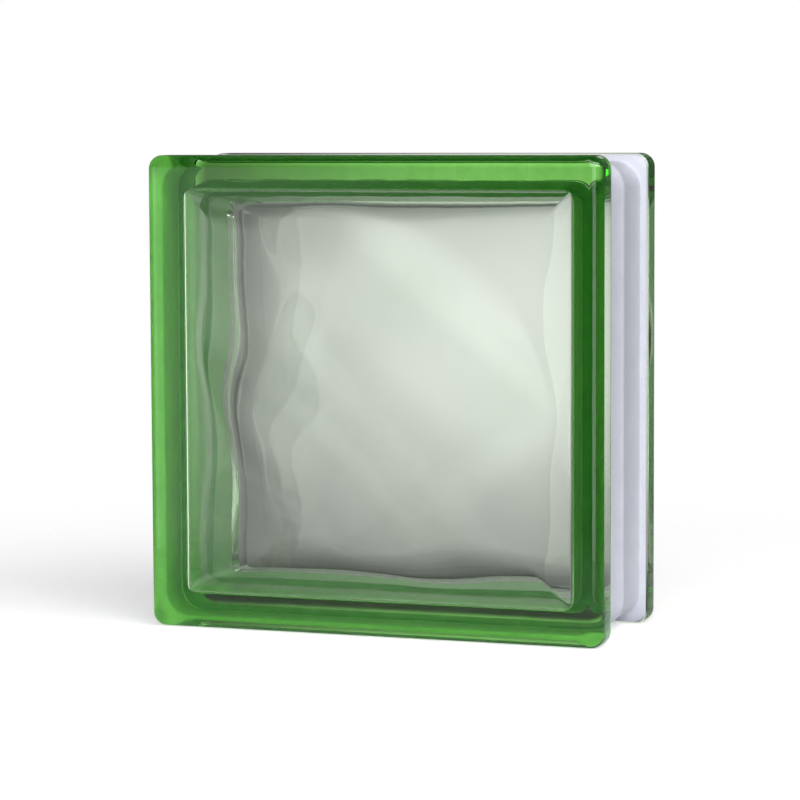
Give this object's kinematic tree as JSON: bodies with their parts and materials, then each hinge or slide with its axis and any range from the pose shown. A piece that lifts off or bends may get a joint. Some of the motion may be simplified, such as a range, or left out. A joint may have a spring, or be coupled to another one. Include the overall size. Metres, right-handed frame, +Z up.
{
  "type": "glass block",
  "caption": "Square hollow glass block of two joined pressings with wave-relief panes, flanged faces and a coated mortar channel round its edge, for light-passing walls.",
  "frame": {"origin": "centre of the level plane that the bottom edge bands of the two flanges rest on", "axes": "+X along the wall, +Y through the wall from front to rear, +Z up; the front face looks to -Y"},
  "size_m": [0.19, 0.08, 0.19],
  "materials": {
    "glass": "polished, clear with a faint green cast",
    "edge_coating": "matte sprayed coat, white outside, green where it shows through the glass"
  },
  "bodies": {
    "root": {"front_half": "glass", "rear_half": "glass", "edge_coating": "edge_coating"}
  },
  "joints": []
}
